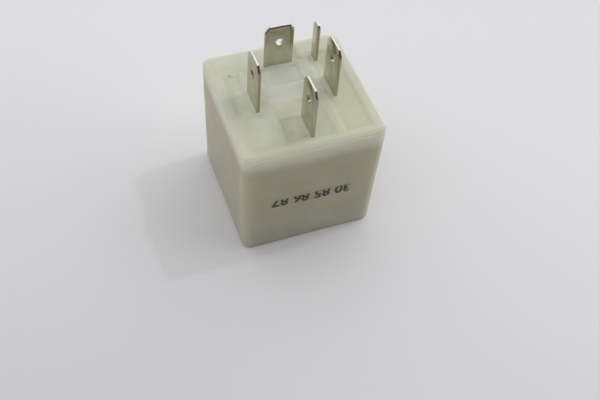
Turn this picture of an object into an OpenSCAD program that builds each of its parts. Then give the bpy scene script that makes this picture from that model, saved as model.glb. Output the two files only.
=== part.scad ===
// Changeover relay with push-on blades. It lies on its closed end, blades up.
// Lengths are in millimetres. The origin is the middle of the closed end.

/* [Cover] */
// Width and depth of the cover across its open rim
cover_w = 30.5; // [30:0.1:42]
// Height of the cover from its closed end to the rim
cover_h = 29.6; // [27:0.1:38]
// Draft of each side wall over the whole height
cover_draft = 0.33; // [0:0.01:0.5]
// Wall thickness at the rim
wall = 1.4; // [1.1:0.1:1.6]
// Thickness of the closed end
end_wall = 1.4; // [1:0.1:2]
// Radius of the upright corners
corner_r = 2; // [1.5:0.1:3]
// Radius round the edge of the closed end
end_r = 0.95; // [0.3:0.05:1.4]
// Radius of the outer edge at the rim
lip_r = 0.4; // [0.1:0.05:0.6]

/* [Base plate] */
// Depth of the base plate's top face below the rim
base_sink = 0.05; // [0:0.05:1]
// Thickness of the base plate
base_t = 4.4; // [3.4:0.1:5]
// Gap between the base plate and the cover wall
base_gap = 0.04; // [0.02:0.01:0.2]
// Depth of the channels moulded into the top face
channel_depth = 0.3; // [0.1:0.05:0.8]
// Half the width of a channel's sloping wall
channel_slope = 0.4; // [0.1:0.05:0.6]
// How far the snap lugs stand out of the base plate
snap_out = 0.35; // [0.15:0.05:0.5]

/* [Blades] */
// Width of the four main blades
blade_w = 6.3; // [4.8:0.1:6.6]
// Thickness of the four main blades
blade_t = 0.8; // [0.6:0.05:1]
// Height of blades 30 and 85 above the rim
blade_h = 11.5; // [8:0.1:14]
// Height of blade 86 above the rim
blade_86_h = 11.9; // [8:0.1:14]
// Height of blade 87 above the rim
blade_87_h = 10.3; // [8:0.1:14]
// Distance of blades 85 and 86 from the centre line
side_x = 8.4; // [8.4:0.1:9]
// Distance of blades 85 and 86 behind the middle
side_y = 0.2; // [-0.5:0.1:0.5]
// Distance of blade 30 in front of the middle
front_y = 9; // [8.8:0.1:9.4]
// Distance of blade 87 behind the middle
back_y = 9.4; // [8.8:0.1:9.6]
// Diameter of the latch hole in a main blade
latch_d = 1.7; // [1.2:0.1:2]
// Distance of the latch hole below the blade's tip
latch_drop = 4.1; // [3:0.1:5]
// Width of the narrow blade 87a
narrow_w = 2.4; // [2:0.1:3]
// Thickness of the narrow blade 87a
narrow_t = 0.8; // [0.4:0.05:0.8]
// Height of the narrow blade 87a above the rim
narrow_h = 9.1; // [6:0.1:12]
// Distance of the narrow blade from the centre line
narrow_x = 8.2; // [8:0.05:8.8]
// Distance of the narrow blade behind the middle
narrow_y = 9.2; // [8.8:0.1:9.6]

/* [Magnet frame] */
// Thickness of the yoke's sheet
yoke_t = 1.5; // [1.2:0.1:1.8]
// Distance of the yoke's outer face in front of the middle
yoke_front = 11.2; // [10.8:0.1:11.4]
// Width of the yoke's upright leg
yoke_w = 14; // [13:0.1:16]
// Width of the yoke's flat leg
yoke_flat_w = 10; // [8:0.1:10.2]
// Diameter of the core's shank
core_d = 6; // [4.8:0.1:7.2]
// Diameter of the core's pole head
pole_d = 9.5; // [8:0.1:10]
// Thickness of the core's pole head
pole_t = 1.2; // [0.8:0.1:1.6]

/* [Coil] */
// Diameter of the bobbin's flanges
flange_d = 14; // [12.6:0.1:14.4]
// Thickness of the bobbin's flanges
flange_t = 1; // [0.6:0.1:1.2]
// Wall of the bobbin's tube
tube_wall = 0.75; // [0.5:0.05:1]
// Outer diameter of the winding
winding_d = 13.2; // [11:0.1:13.6]
// Diameter of the coil's lead wires
lead_d = 0.26; // [0.16:0.02:0.4]

/* [Armature and contacts] */
// Thickness of the armature plate
armature_t = 1.5; // [1.2:0.1:1.8]
// Width of the armature plate over the pole
armature_w = 13; // [12:0.1:14]
// Angle of the armature when it has dropped off, in degrees
open_angle = 2.5; // [1.5:0.1:3]
// Thickness of the contact spring
spring_t = 0.3; // [0.2:0.05:0.4]
// Diameter of the contact heads
contact_d = 3.4; // [2.6:0.1:3.8]
// Height of one contact head
contact_head = 0.7; // [0.5:0.05:0.9]
// Clear room between the closed end and the normally closed arm
end_room = 0.7; // [0.7:0.05:2]

/* [Suppression resistor] */
// Diameter of the resistor at its end caps
resistor_d = 2.4; // [1.8:0.1:2.6]
// Length of the resistor's body
resistor_l = 6.4; // [5:0.1:7]
// Diameter of the resistor's wires
resistor_wire_d = 0.6; // [0.4:0.05:0.7]

/* [Hidden] */
$fn = 64;
eps = 0.01;

// Fits
slot_gap = 0.04;     // round a blade in the base plate
seat_gap = 0.03;     // between stacked parts that are clamped together
hole_gap = 0.04;     // round a rivet, tenon or core in its hole
touch_gap = 0.03;    // left between faces that meet when the armature has moved

// Cover
cover_half = cover_w / 2;
cavity_r = max(corner_r - wall, 0.6);
end_fillet = 0.5;
lip_flare = 0.1;
post_r = 1.7;        // corner posts that carry the base plate

// Base plate
base_top = cover_h - base_sink;
base_bottom = base_top - base_t;
base_half = half_at(base_bottom) - wall - base_gap;
base_r = max(cavity_r - base_gap, 0.4);
snap_w = 5;
snap_h = 1.1;
snap_z = base_bottom + 1.4;
snap_y = 7.2;
shoulder_out = 0.5;  // how far a blade's stop shoulder stands out on each side
shoulder_h = 1.5;

// Blades
tip_cut = [1, 1.3];  // width and height of the cut corners at a blade's tip
tip_bevel = 0.6;
edge_bevel = 0.16;
coin = 0.2;          // depth of the coined bevel from each face
tab_w = 2.6;
tab_drop = 6.4;
nc_arm_w = 2.8;       // arm and leg of 87a inside the cover

// Magnet frame
pivot_y = -yoke_front;
contact_y = back_y;
reach = contact_y - pivot_y;
nc_arm_z = end_wall + end_room;
nc_face = nc_arm_z + narrow_t + seat_gap + contact_head;
stack_t = armature_t + spring_t + 2 * seat_gap + contact_head;
pivot_z = nc_face + touch_gap + stack_t * cos(open_angle) + reach * sin(open_angle);
yoke_top = base_bottom - seat_gap;
yoke_under = yoke_top - yoke_t;
yoke_bend_r = 1;
ear_w = 1.6;
ear_drop = 1.7;
prong_h = 2.8;

// Coil
flange_gap = 0.5;    // between the yoke's upright leg and the flanges
coil_y = pivot_y + yoke_t + flange_gap + flange_d / 2;
pole_z = pivot_z + touch_gap;
bobbin_z = pole_z + pole_t + seat_gap;
bobbin_top = yoke_under - seat_gap;
tube_d = core_d + 2 * hole_gap + 2 * tube_wall;
tenon_d = 4.4;
stake_d = 5.4;
stake_h = 0.4;
wind_z = bobbin_z + flange_t + seat_gap;
wind_top = bobbin_top - flange_t - seat_gap;
lug_in = flange_d / 2 - 0.25;
lug_out = side_x + 1.1;
lug_w = tab_w + 1.2;
lug_h = 2.1;
lug_drop = base_bottom - bobbin_top + lug_h;
lead_turns = 3;
lead_pitch = lead_d * 1.25;
lead_z = base_bottom - tab_drop + 0.45;
lead_gap = 0.1;      // between the lead's turns and the tab

// Contacts
rivet_d = 1.6;
rivet_head_d = 2.6;
rivet_head_h = 0.5;
crown = 0.12;        // rise of a contact's crowned face
tail_h = 0.3;        // closed-over end of a fixed contact
no_face = pivot_z - armature_t + contact_head + touch_gap;
no_foot_z = no_face + contact_head + seat_gap;
no_leg_y = back_y + 2.4;
no_leg_w = 5;
armature_end = coil_y + 6.8;
armature_neck_w = 9.8;
armature_neck_l = 1.9;
armature_rivets_at = [2.6, coil_y + 5.5];
spring_leg_top = pivot_z + 8.4;
spring_rivets_at = [2.6, pivot_z + 6.1];
spring_w = 9;
spring_tip_w = 4.4;
spring_mid = pivot_z - armature_t - seat_gap - spring_t / 2;

// Suppression resistor
resistor_y = 6.7;
resistor_z = base_bottom - lug_drop - resistor_wire_d / 2 - 0.3;
resistor_bend_r = 1;

// ---- Lines and strips ----

function half_at(z) = cover_half - cover_draft * (1 - z / cover_h);
function seg_dir(a, b) = (b - a) / norm(b - a);
function turned(v, a) = [v.x * cos(a) - v.y * sin(a), v.x * sin(a) + v.y * cos(a)];

// Arc that rounds the corner b of the line a-b-c
function corner_arc(a, b, c, r, steps = 6) =
    let (d1 = seg_dir(a, b), d2 = seg_dir(b, c))
    let (side = sign(d1.x * d2.y - d1.y * d2.x), turn = acos(d1 * d2))
    let (inward = side * [-d1.y, d1.x], centre = b - d1 * r * tan(turn / 2) + inward * r)
    [for (k = [0:steps]) centre + turned(-inward * r, side * turn * k / steps)];

// A line through the given corners, each one rounded
function rounded_line(pts, r) = [
    pts[0],
    for (i = [1:len(pts) - 2]) each corner_arc(pts[i - 1], pts[i], pts[i + 1], r),
    pts[len(pts) - 1]
];

// Sideways step from point i of a line to the face of a strip around it
function strip_step(path, i) =
    let (before = seg_dir(path[max(i - 1, 0)], path[max(i, 1)]))
    let (after = seg_dir(path[min(i, len(path) - 2)], path[min(i + 1, len(path) - 1)]))
    let (sum = before + after)
    2 * [-sum.y, sum.x] / (sum * sum);

function strip_outline(path, t) = [
    for (i = [0:len(path) - 1]) path[i] + strip_step(path, i) * t / 2,
    for (i = [len(path) - 1:-1:0]) path[i] - strip_step(path, i) * t / 2
];

function bezier(p, s) =
    p[0] * pow(1 - s, 3) + p[1] * 3 * s * pow(1 - s, 2) + p[2] * 3 * s * s * (1 - s) + p[3] * pow(s, 3);

module rounded_rect(w, d, r) {
    square([w - 2 * r, d], center = true);
    square([w, d - 2 * r], center = true);
    for (sx = [-1, 1], sy = [-1, 1])
        translate([sx * (w / 2 - r), sy * (d / 2 - r)]) circle(r);
}

// Strip bent in the Y-Z plane, as wide along X as w
module strip_yz(path, t, w) {
    rotate([90, 0, 90]) linear_extrude(w, center = true) polygon(strip_outline(path, t));
}

// Strip bent in the X-Z plane, as wide along Y as w
module strip_xz(path, t, w) {
    rotate([90, 0, 0]) linear_extrude(w, center = true) polygon(strip_outline(path, t));
}

// Recess with sloping walls, cut down from the base plate's top face
module channel(x, y, depth) {
    intersection() {
        rotate([90, 0, 0])
            linear_extrude(4 * cover_w, center = true)
                polygon(channel_section(x, depth));
        rotate([90, 0, 90])
            linear_extrude(4 * cover_w, center = true)
                polygon(channel_section(y, depth));
    }
}

function channel_section(span, depth) = [
    [span[0] - channel_slope, base_top + 1],
    [span[0] - channel_slope, base_top],
    [span[0] + channel_slope, base_top - depth],
    [span[1] - channel_slope, base_top - depth],
    [span[1] + channel_slope, base_top],
    [span[1] + channel_slope, base_top + 1]
];

// ---- Cover ----

module cover_ring(z, inset, r) {
    w = 2 * (half_at(z) - inset);
    translate([0, 0, z]) linear_extrude(eps) rounded_rect(w, w, r - inset, $fn = 48);
}

module cover_skin() {
    hull() {
        for (a = [0:15:90])
            cover_ring(end_r * (1 - cos(a)), end_r * (1 - sin(a)), corner_r);
        for (a = [0:22.5:90])
            cover_ring(cover_h - eps - lip_r * (1 - sin(a)), lip_r * (1 - cos(a)), corner_r);
    }
}

module cavity_ring(z, inset) {
    w = 2 * (half_at(z) - wall - inset);
    translate([0, 0, z]) linear_extrude(eps) rounded_rect(w, w, max(cavity_r - inset, 0.1), $fn = 32);
}

module cover_cavity() {
    hull() {
        for (a = [0:30:90])
            cavity_ring(end_wall + end_fillet * (1 - cos(a)), end_fillet * (1 - sin(a)));
        cavity_ring(cover_h, 0);
    }
    hull() {
        cavity_ring(cover_h - lip_flare, 0);
        cavity_ring(cover_h, -lip_flare);
    }
}

// Corner posts inside the cover, on which the base plate rests
module corner_posts() {
    place = half_at(end_wall) - wall - 0.5;
    intersection() {
        cover_skin();
        for (sx = [-1, 1], sy = [-1, 1])
            translate([sx * place, sy * place, end_wall / 2])
                cylinder(h = base_bottom - seat_gap - end_wall / 2, r = post_r);
    }
}

module snaps(out, h, w, z) {
    for (side = [-1, 1], y = [-snap_y, snap_y])
        translate([side * (base_half - eps), y, z])
            rotate([90, 0, 0])
                linear_extrude(w, center = true)
                    polygon([[0, 0], [0, h], [side * out, h], [side * out, h * 0.7]]);
}

module cover() {
    color([0.80, 0.80, 0.72])
        difference() {
            union() {
                difference() {
                    cover_skin();
                    cover_cavity();
                }
                corner_posts();
            }
            snaps(snap_out + 0.15, snap_h + 0.3, snap_w + 0.4, snap_z - 0.15);
        }
}

// ---- Base plate ----

module blade_slot(w, t) {
    translate([-w / 2 - slot_gap, -t / 2 - slot_gap, base_bottom - 1])
        cube([w + 2 * slot_gap, t + 2 * slot_gap, base_t + 2]);
    shoulder_w = w + 2 * shoulder_out + 2 * slot_gap;
    translate([-shoulder_w / 2, -t / 2 - slot_gap, base_bottom - 1])
        cube([shoulder_w, t + 2 * slot_gap, shoulder_h + 1 + slot_gap]);
}

// Shallow channels and pockets of the top face, from the front to the back
module base_relief() {
    edge = base_half - 1;
    rib = side_x - 1.6;
    channel([-5.6, 4.7], [-edge, -1.8], 0.6 * channel_depth);
    channel([-5.1, -0.9], [-edge + 0.7, -5.6], 1.4 * channel_depth);
    channel([rib, edge], [-edge, 10.8], 0.8 * channel_depth);
    channel([-edge, -rib - 2.4], [-2.4, 8.2], 0.8 * channel_depth);
    channel([-4.6, 3.8], [3.2, 8.3], channel_depth);
    for (mark = [[-11.1, 8.3], [-8.3, -4.2], [10.9, 6.4]])
        translate([mark.x, mark.y, base_top - channel_depth]) cylinder(h = 2, d = 0.9);
}

// Pockets in the underside that keep the plate's walls even
module base_hollows() {
    for (sx = [-1, 1])
        translate([sx * 11.2 - 1.2, -9, base_bottom - 1]) cube([2.4, 15.5, 2.2]);
    translate([-4.5, 2.6, base_bottom - 1]) cube([9, 3.6, 2.2]);
}

module base_plate() {
    side = 2 * base_half;
    color([0.84, 0.84, 0.74])
        difference() {
            union() {
                translate([0, 0, base_bottom]) linear_extrude(base_t) rounded_rect(side, side, base_r);
                snaps(snap_out, snap_h, snap_w, snap_z);
            }
            base_relief();
            base_hollows();
            at_86() blade_slot(blade_w, blade_t);
            at_85() blade_slot(blade_w, blade_t);
            at_30() blade_slot(blade_w, blade_t);
            at_87() blade_slot(blade_w, blade_t);
            at_87a() blade_slot(narrow_w, narrow_t);
            translate([0, coil_y, base_bottom - 1]) cylinder(h = 1 + stake_h + 0.4, d = stake_d + 0.8);
            for (sx = [-1, 1])
                translate([sx * (yoke_w / 2 - prong_w() / 2), pivot_y + yoke_t / 2, base_bottom])
                    cube([prong_w() + 2 * hole_gap, yoke_t + 2 * hole_gap, 2 * prong_h + 0.4], center = true);
        }
}

// ---- Blades ----

module at_30() translate([0, -front_y, 0]) rotate(90) children();
module at_85() translate([side_x, side_y, 0]) rotate(90) children();
module at_86() translate([-side_x, side_y, 0]) rotate(90) children();
module at_87() translate([0, back_y, 0]) children();
module at_87a() translate([narrow_x, narrow_y, 0]) rotate(90) children();

function blade_outline(w, foot, tip, side_in, tip_in) =
    let (cut = tip_cut * min(1, w / 6))
    [
        [-w / 2 + side_in, foot],
        [w / 2 - side_in, foot],
        [w / 2 - side_in, tip - cut.y - tip_in * 0.4],
        [w / 2 - cut.x - tip_in * 0.4, tip - tip_in],
        [-w / 2 + cut.x + tip_in * 0.4, tip - tip_in],
        [-w / 2 + side_in, tip - cut.y - tip_in * 0.4]
    ];

// Flat blade along X with coined edges, from z = foot to z = tip
module blade(w, t, foot, tip) {
    bite = min(coin, t / 4);
    rotate([90, 0, 0])
        hull() {
            linear_extrude(t - 2 * bite, center = true)
                polygon(blade_outline(w, foot, tip, 0, 0));
            linear_extrude(t, center = true)
                polygon(blade_outline(w, foot, tip, edge_bevel, tip_bevel));
        }
}

// Plain stretch of a blade inside the base plate, with its stop shoulder
module blade_root(w, t) {
    translate([-w / 2, -t / 2, base_bottom]) cube([w, t, base_t - 0.2]);
    translate([-w / 2 - shoulder_out, -t / 2, base_bottom])
        cube([w + 2 * shoulder_out, t, shoulder_h]);
}

module main_blade(height) {
    tip = cover_h + height;
    difference() {
        union() {
            blade(blade_w, blade_t, base_top - 0.4, tip);
            blade_root(blade_w, blade_t);
        }
        translate([0, 0, tip - latch_drop])
            rotate([90, 0, 0]) cylinder(h = 2 * blade_t, d = latch_d, center = true);
    }
}

module terminal_30() {
    color([0.76, 0.74, 0.70])
        at_30() {
            main_blade(blade_h);
            translate([blade_w / 2 - tenon_w() - 0.2, -blade_t / 2, yoke_under])
                cube([tenon_w(), blade_t, base_bottom - yoke_under + eps]);
        }
}

// Tab below a coil blade, on which the coil's lead is wound
module coil_tab() {
    translate([-tab_w / 2, -blade_t / 2, base_bottom - tab_drop])
        cube([tab_w, blade_t, tab_drop + eps]);
}

module terminal_85() {
    color([0.76, 0.74, 0.70])
        at_85() {
            main_blade(blade_h);
            coil_tab();
        }
}

module terminal_86() {
    color([0.76, 0.74, 0.70])
        at_86() {
            main_blade(blade_86_h);
            coil_tab();
        }
}

module terminal_87() {
    foot = no_foot_z + blade_t / 2;
    path = rounded_line([
        [back_y, base_bottom + eps],
        [back_y, base_bottom - 1.2],
        [no_leg_y, base_bottom - 3.4],
        [no_leg_y, foot],
        [contact_y - contact_d / 2 - 0.2, foot]
    ], 0.9);
    color([0.76, 0.74, 0.70])
        difference() {
            union() {
                at_87() main_blade(blade_87_h);
                strip_yz(path, blade_t, no_leg_w);
            }
            translate([0, contact_y, foot])
                cylinder(h = 2 * blade_t, d = rivet_d + 2 * hole_gap, center = true);
        }
}

module terminal_87a() {
    arm = nc_arm_z + narrow_t / 2;
    path = rounded_line([
        [narrow_x, base_bottom + eps],
        [narrow_x, arm],
        [-contact_d / 2 - 0.2, arm]
    ], 1);
    color([0.76, 0.74, 0.70])
        difference() {
            union() {
                at_87a() {
                    blade_root(narrow_w, narrow_t);
                    blade(narrow_w, narrow_t, base_top - 0.4, cover_h + narrow_h);
                }
                translate([0, contact_y, 0]) strip_xz(path, narrow_t, nc_arm_w);
            }
            translate([0, contact_y, arm])
                cylinder(h = 2 * narrow_t, d = rivet_d + 2 * hole_gap, center = true);
        }
}

// ---- Yoke and core ----

function prong_w() = (yoke_w - yoke_flat_w) / 2 - 0.3;
function tenon_w() = blade_w * 0.38;

// Upright block of the yoke's sheet, from z = low to z = high, on both sides
module yoke_sides(inner, outer, low, high) {
    for (sx = [-1, 1])
        translate([sx * (inner + outer) / 2, pivot_y + yoke_t / 2, (low + high) / 2])
            cube([outer - inner, yoke_t, high - low], center = true);
}

module yoke() {
    leg = pivot_y + yoke_t / 2;
    flat = yoke_top - yoke_t / 2;
    edge = pivot_z + touch_gap;
    half = yoke_w / 2;
    path = rounded_line([[leg, edge], [leg, flat], [coil_y + core_d, flat]], yoke_bend_r);
    color([0.72, 0.72, 0.73])
        difference() {
            union() {
                strip_yz(path, yoke_t, yoke_flat_w);
                yoke_sides(yoke_flat_w / 2 - eps, half, edge, yoke_under - 1);
                yoke_sides(half - prong_w(), half, yoke_under - 3, base_bottom + prong_h);
                yoke_sides(half - ear_w, half, pivot_z - ear_drop, pivot_z + 1);
            }
            translate([0, coil_y, yoke_under - 1]) cylinder(h = yoke_t + 2, d = tenon_d + 2 * hole_gap);
            at_30()
                translate([blade_w / 2 - tenon_w() - 0.2 - hole_gap, -blade_t / 2 - hole_gap, yoke_under - 1])
                    cube([tenon_w() + 2 * hole_gap, blade_t + 2 * hole_gap, yoke_t + 2]);
            for (sx = [-1, 1])
                translate([sx * spring_rivets_at.x, leg, spring_rivets_at.y])
                    rotate([90, 0, 0]) cylinder(h = 2 * yoke_t, d = rivet_d + 2 * hole_gap, center = true);
        }
}

module core() {
    chamfer = 0.25;
    color([0.66, 0.66, 0.68])
        translate([0, coil_y, 0])
            rotate_extrude()
                polygon([
                    [0, pole_z],
                    [pole_d / 2 - chamfer, pole_z],
                    [pole_d / 2, pole_z + chamfer],
                    [pole_d / 2, pole_z + pole_t],
                    [core_d / 2, pole_z + pole_t],
                    [core_d / 2, yoke_under - seat_gap],
                    [tenon_d / 2, yoke_under - seat_gap],
                    [tenon_d / 2, yoke_top + seat_gap],
                    [stake_d / 2, yoke_top + seat_gap],
                    [stake_d / 2 - chamfer, yoke_top + stake_h],
                    [0, yoke_top + stake_h]
                ]);
}

// ---- Coil ----

module bobbin() {
    color([0.20, 0.20, 0.21])
        difference() {
            union() {
                translate([0, coil_y, bobbin_z]) {
                    cylinder(h = bobbin_top - bobbin_z, d = tube_d);
                    cylinder(h = flange_t, d = flange_d);
                    translate([0, 0, bobbin_top - bobbin_z - flange_t]) cylinder(h = flange_t, d = flange_d);
                }
                for (sx = [-1, 1]) {
                    translate([sx * (lug_in + lug_out) / 2, side_y, bobbin_top - lug_h / 2])
                        cube([lug_out - lug_in, lug_w, lug_h], center = true);
                    translate([sx * (lug_out + 4) / 2, side_y, bobbin_top - flange_t / 2])
                        cube([lug_out - 4, lug_w, flange_t], center = true);
                }
            }
            translate([0, coil_y, bobbin_z - 1])
                cylinder(h = bobbin_top - bobbin_z + 2, d = core_d + 2 * hole_gap);
            for (sx = [-1, 1])
                translate([sx * side_x, side_y, bobbin_top])
                    cube([blade_t + 2 * slot_gap, tab_w + 2 * slot_gap, 3 * lug_h], center = true);
        }
}

module coil_winding() {
    inner = tube_d / 2 + hole_gap;
    outer = winding_d / 2;
    shoulder = 0.35;
    color([0.72, 0.36, 0.16])
        translate([0, coil_y, 0])
            rotate_extrude()
                polygon([
                    [inner, wind_z],
                    [outer - shoulder, wind_z],
                    [outer, wind_z + shoulder],
                    [outer, wind_top - shoulder],
                    [outer - shoulder, wind_top],
                    [inner, wind_top]
                ]);
}

function power(v, n) = sign(v) * pow(abs(v), n);

// Route of one lead: along the winding, across to the tab, then round it
function lead_route() =
    let (run = winding_d / 2 + lead_d / 2 + hole_gap)
    let (a = blade_t / 2 + lead_d / 2 + lead_gap, b = tab_w / 2 + lead_d / 2 + lead_gap)
    [
        for (t = [-60:10:-20])
            [run * cos(t), coil_y + run * sin(t), lead_z + lead_turns * lead_pitch + lead_gap],
        for (k = [0:lead_turns * 20])
            let (t = -130 + k * 18)
            [
                side_x + a * power(cos(t), 0.4),
                side_y + b * power(sin(t), 0.4),
                lead_z + lead_pitch * (lead_turns - k / 20)
            ]
    ];

module wire(route, d) {
    sides = 8;
    last = len(route) - 1;
    rings = [
        for (i = [0:last])
            let (tangent = route[min(i + 1, last)] - route[max(i - 1, 0)])
            let (along = tangent / norm(tangent), side = cross(along, [0, 0, 1]))
            let (u = side / norm(side), v = cross(u, along))
            for (k = [0:sides - 1])
                route[i] + d / 2 * (u * cos(360 * k / sides) + v * sin(360 * k / sides))
    ];
    walls = [
        for (i = [0:last - 1], k = [0:sides - 1])
            let (n = (k + 1) % sides)
            each [
                [i * sides + k, i * sides + n, (i + 1) * sides + n],
                [i * sides + k, (i + 1) * sides + n, (i + 1) * sides + k]
            ]
    ];
    caps = [
        [for (k = [sides - 1:-1:0]) k],
        [for (k = [0:sides - 1]) last * sides + k]
    ];
    polyhedron(points = rings, faces = concat(walls, caps), convexity = 6);
}

module coil_leads() {
    color([0.75, 0.40, 0.20])
        for (flip = [0, 1])
            mirror([flip, 0, 0]) wire(lead_route(), lead_d);
}

// ---- Suppression resistor ----

module resistor_body() {
    waist = 0.88;
    cap = resistor_l * 0.22;
    bevel = 0.3;
    half = resistor_l / 2;
    r = resistor_d / 2;
    color([0.45, 0.62, 0.70])
        translate([0, resistor_y, resistor_z])
            rotate([0, 90, 0])
                rotate_extrude()
                    polygon([
                        [0, -half],
                        [r - bevel, -half],
                        [r, -half + bevel],
                        [r, -half + cap - bevel],
                        [r * waist, -half + cap],
                        [r * waist, half - cap],
                        [r, half - cap + bevel],
                        [r, half - bevel],
                        [r - bevel, half],
                        [0, half]
                    ]);
}

module resistor_leads() {
    r = resistor_wire_d / 2;
    run_x = side_x - blade_t / 2 - r - hole_gap;
    run_y = resistor_y - resistor_bend_r;
    color([0.78, 0.77, 0.75])
        for (flip = [0, 1])
            mirror([flip, 0, 0])
                translate([0, 0, resistor_z]) {
                    translate([resistor_l / 2 + eps, resistor_y, 0])
                        rotate([0, 90, 0])
                            cylinder(h = run_x - resistor_bend_r - resistor_l / 2 - eps, r = r);
                    translate([run_x - resistor_bend_r, run_y, 0])
                        rotate_extrude(angle = 90) translate([resistor_bend_r, 0]) circle(r, $fn = 32);
                    translate([run_x, side_y - tab_w / 2 + 0.3, 0])
                        rotate([-90, 0, 0]) cylinder(h = run_y - side_y + tab_w / 2 - 0.3, r = r);
                }
}

// ---- Armature, spring and contacts ----

// Drawn with the armature closed on the pole, then dropped about the yoke's edge
module dropped() {
    translate([0, pivot_y, pivot_z])
        rotate([-open_angle, 0, 0])
            translate([0, -pivot_y, -pivot_z])
                children();
}

function dropped_point(p) = [pivot_y, pivot_z] + turned(p - [pivot_y, pivot_z], -open_angle);

module armature() {
    neck = armature_neck_w / 2;
    half = armature_w / 2;
    corner = 1.5;
    color([0.70, 0.70, 0.72])
        dropped()
            translate([0, 0, pivot_z - armature_t])
                difference() {
                    linear_extrude(armature_t)
                        polygon([
                            [-neck, pivot_y],
                            [neck, pivot_y],
                            [neck, pivot_y + armature_neck_l],
                            [half, pivot_y + armature_neck_l + 0.6],
                            [half, armature_end - corner],
                            [half - corner, armature_end],
                            [-half + corner, armature_end],
                            [-half, armature_end - corner],
                            [-half, pivot_y + armature_neck_l + 0.6],
                            [-neck, pivot_y + armature_neck_l]
                        ]);
                    at_armature_rivets()
                        translate([0, 0, -1]) cylinder(h = armature_t + 2, d = rivet_d + 2 * hole_gap);
                }
}

module at_armature_rivets() {
    for (sx = [-1, 1])
        translate([sx * armature_rivets_at.x, armature_rivets_at.y, 0]) children();
}

// Centre line of the spring, from the contact round the hinge to the yoke's front
function spring_line() =
    let (tip = dropped_point([contact_y + spring_tip_w / 2, spring_mid]))
    let (bend = dropped_point([pivot_y, spring_mid]))
    let (leg = [pivot_y - seat_gap - spring_t / 2, pivot_z + 2.6])
    let (reach_out = seg_dir(tip, bend) * 3)
    [
        tip,
        for (s = [0:0.0625:1]) bezier([bend, bend + reach_out, leg - [0, 2], leg], s),
        [leg.x, spring_leg_top]
    ];

module contact_spring() {
    color([0.80, 0.62, 0.38])
        difference() {
            intersection() {
                strip_yz(spring_line(), spring_t, spring_w);
                union() {
                    translate([-spring_w / 2, -cover_half, 0])
                        cube([spring_w, cover_half + armature_end - 4 + eps, cover_h]);
                    translate([0, contact_y, 0]) cylinder(h = 2 * cover_h, d = spring_tip_w, center = true);
                    linear_extrude(cover_h)
                        polygon([
                            [-spring_w / 2, armature_end - 4],
                            [-spring_tip_w / 2, contact_y - 1.2],
                            [-spring_tip_w / 2, contact_y],
                            [spring_tip_w / 2, contact_y],
                            [spring_tip_w / 2, contact_y - 1.2],
                            [spring_w / 2, armature_end - 4]
                        ]);
                }
            }
            translate([-1.8, pivot_y + 0.5, 0]) cube([3.6, 3, pivot_z]);
            dropped() {
                at_armature_rivets() cylinder(h = pivot_z, d = rivet_d + 2 * hole_gap);
                translate([0, contact_y, 0]) cylinder(h = pivot_z, d = rivet_d + 2 * hole_gap);
            }
            for (sx = [-1, 1])
                translate([sx * spring_rivets_at.x, pivot_y, spring_rivets_at.y])
                    rotate([90, 0, 0]) cylinder(h = 2, d = rivet_d + 2 * hole_gap, center = true);
        }
}

// Rivet along +Z whose head lies below z = 0 and whose shank ends at z = grip
module rivet(grip) {
    rotate_extrude()
        polygon([
            [0, -rivet_head_h],
            [rivet_head_d / 2 - 0.35, -rivet_head_h],
            [rivet_head_d / 2, -0.15],
            [rivet_head_d / 2, 0],
            [rivet_d / 2, 0],
            [rivet_d / 2, grip],
            [0, grip]
        ]);
}

module armature_rivets() {
    spring_bottom = spring_mid - spring_t / 2;
    color([0.74, 0.72, 0.68])
        dropped()
            at_armature_rivets()
                translate([0, 0, spring_bottom - seat_gap])
                    rivet(pivot_z - spring_bottom);
}

module yoke_rivets() {
    color([0.74, 0.72, 0.68])
        for (sx = [-1, 1])
            translate([sx * spring_rivets_at.x, pivot_y - spring_t - 2 * seat_gap, spring_rivets_at.y])
                rotate([-90, 0, 0]) rivet(yoke_t + spring_t + 2 * seat_gap + 0.15);
}

// Half section of a crowned contact head that faces +Z, with its base on z = 0
function crowned(steps = 5) = [
    for (k = [steps:-1:0])
        let (x = contact_d / 2 * k / steps)
        [x, contact_head - crown * pow(k / steps, 2)]
];

module contact_button() {
    rotate_extrude() polygon(concat([[0, 0], [contact_d / 2, 0]], crowned()));
}

module moving_contact() {
    color([0.86, 0.86, 0.85])
        dropped()
            translate([0, contact_y, spring_mid]) {
                step = spring_t / 2 + seat_gap;
                translate([0, 0, step]) contact_button();
                cylinder(h = 2 * step + 2 * eps, d = rivet_d, center = true);
                translate([0, 0, -step]) mirror([0, 0, 1]) contact_button();
            }
}

// Fixed contact that faces +Z, riveted through an arm of thickness t below it
module fixed_contact(t) {
    translate([0, 0, -contact_head]) {
        contact_button();
        translate([0, 0, -t - 2 * seat_gap]) cylinder(h = t + 2 * seat_gap + eps, d = rivet_d);
        translate([0, 0, -t - 2 * seat_gap - tail_h])
            cylinder(h = tail_h + eps, d1 = rivet_head_d - 0.5, d2 = rivet_head_d);
    }
}

module no_contact() {
    color([0.86, 0.86, 0.85])
        translate([0, contact_y, no_face]) mirror([0, 0, 1]) fixed_contact(blade_t);
}

module nc_contact() {
    color([0.86, 0.86, 0.85])
        translate([0, contact_y, nc_face]) fixed_contact(narrow_t);
}

cover();
base_plate();
terminal_30();
terminal_85();
terminal_86();
terminal_87();
terminal_87a();
yoke();
core();
bobbin();
coil_winding();
coil_leads();
resistor_body();
resistor_leads();
armature();
contact_spring();
armature_rivets();
yoke_rivets();
moving_contact();
no_contact();
nc_contact();
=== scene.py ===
# Changeover relay with push-on blades. It lies on its closed end with the blades up.
import math

import bmesh
import bpy
from mathutils import Matrix, Vector


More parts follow.
